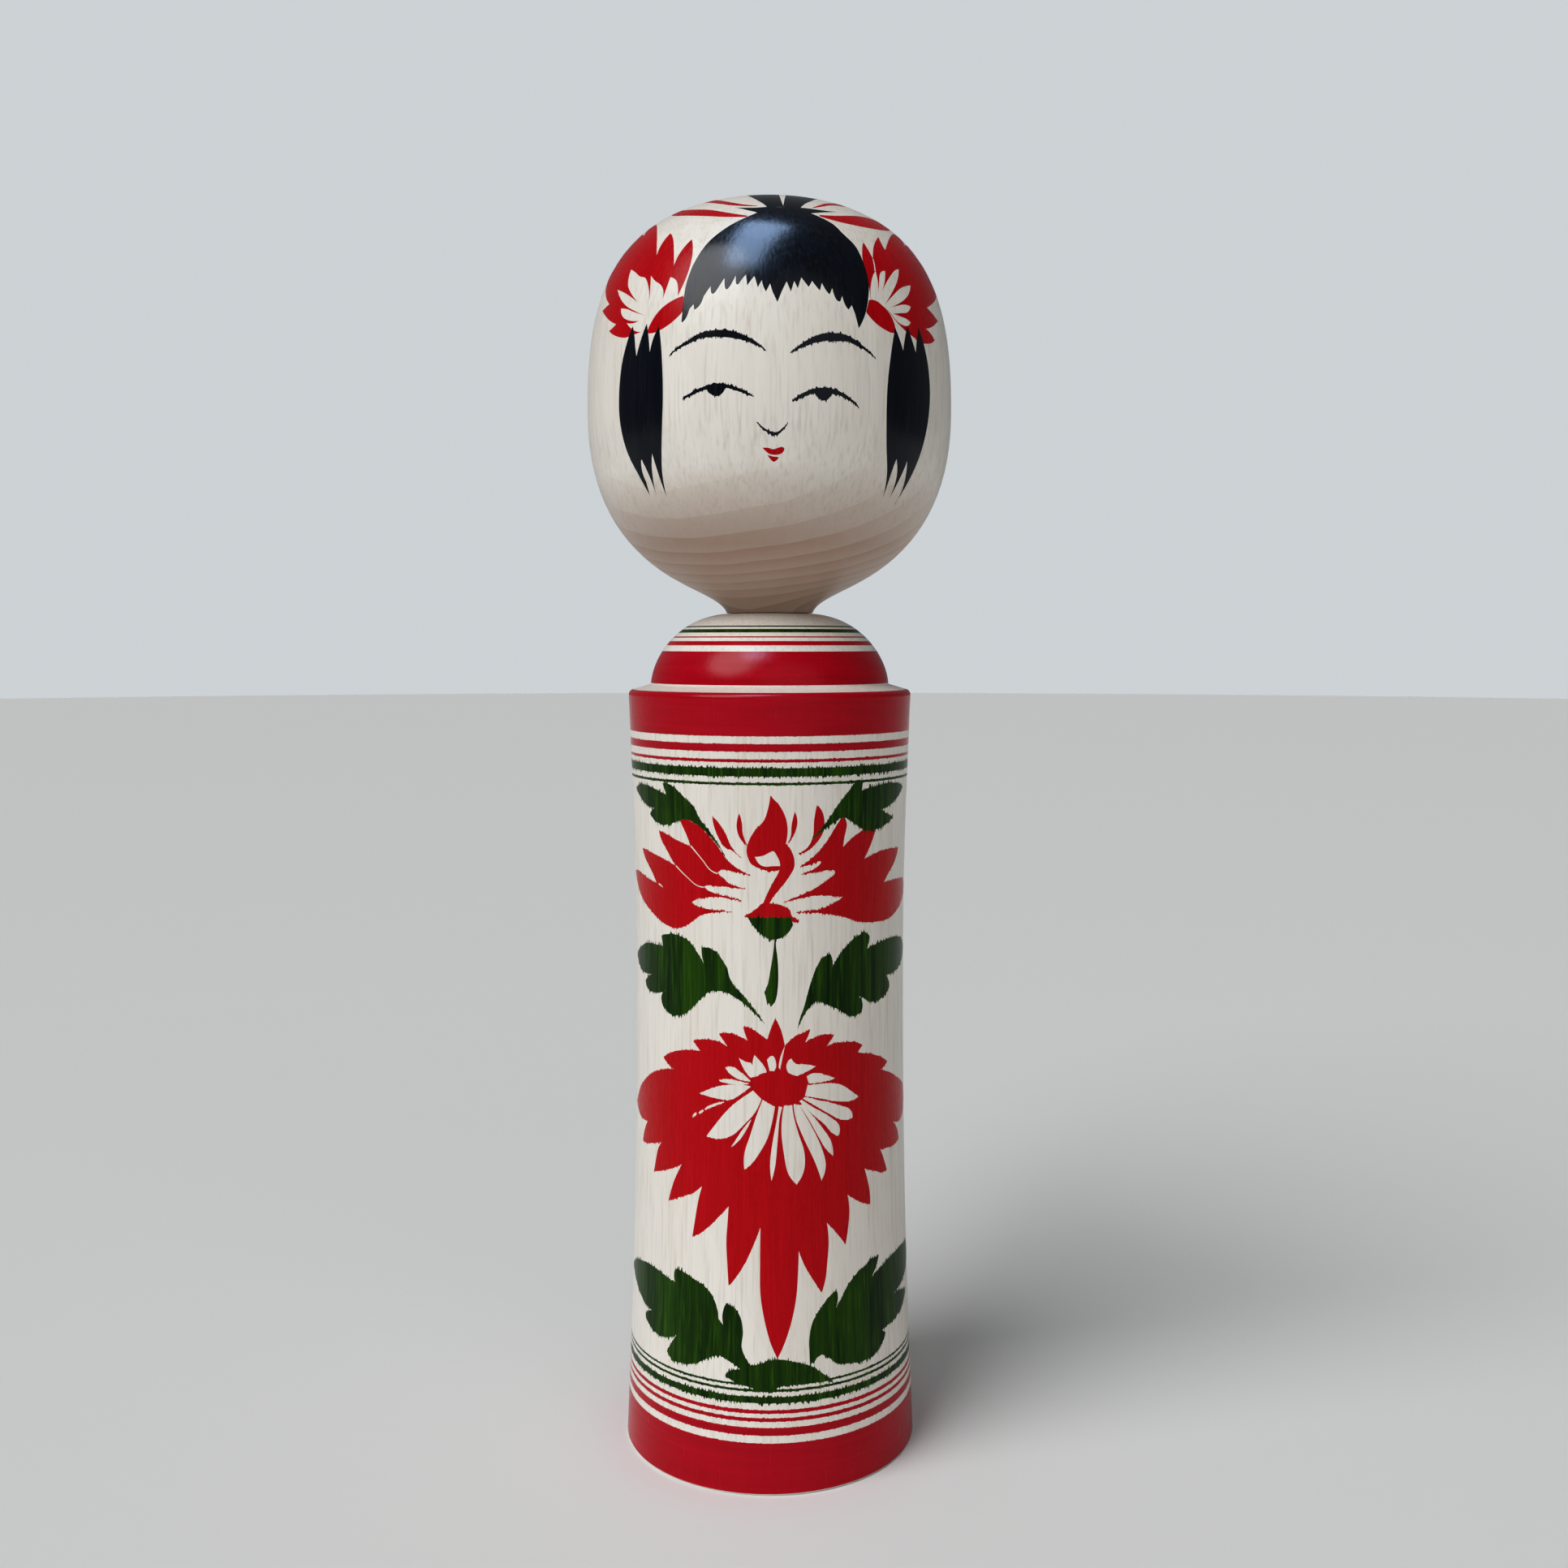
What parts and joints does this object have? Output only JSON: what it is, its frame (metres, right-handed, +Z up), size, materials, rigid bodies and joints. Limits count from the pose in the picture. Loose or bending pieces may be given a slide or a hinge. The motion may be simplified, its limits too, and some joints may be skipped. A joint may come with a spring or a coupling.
{
  "type": "kokeshi doll",
  "caption": "Free-standing turned wooden doll: waisted cylindrical body with a stepped, domed shoulder and a round painted head that turns on a plug in the body.",
  "frame": {"origin": "centre of the flat base, on the turning axis", "axes": "+Z up along the turning axis, -Y the way the face looks, +X the doll's left"},
  "size_m": [0.0874, 0.0874, 0.303],
  "materials": {
    "body_wood": "pale turned wood, painted with crimson and dark green bands and flowers, waxed to a satin",
    "head_wood": "pale turned wood, painted with black hair and features and crimson petals, waxed to a satin"
  },
  "bodies": {
    "body": {"body": "body_wood"},
    "head": {"head": "head_wood"}
  },
  "joints": [
    {"name": "head_turn", "type": "hinge", "parent": "body", "child": "head", "pos_m": [0, 0, 0.2058], "axis": [0, 0, 1], "continuous": true}
  ]
}
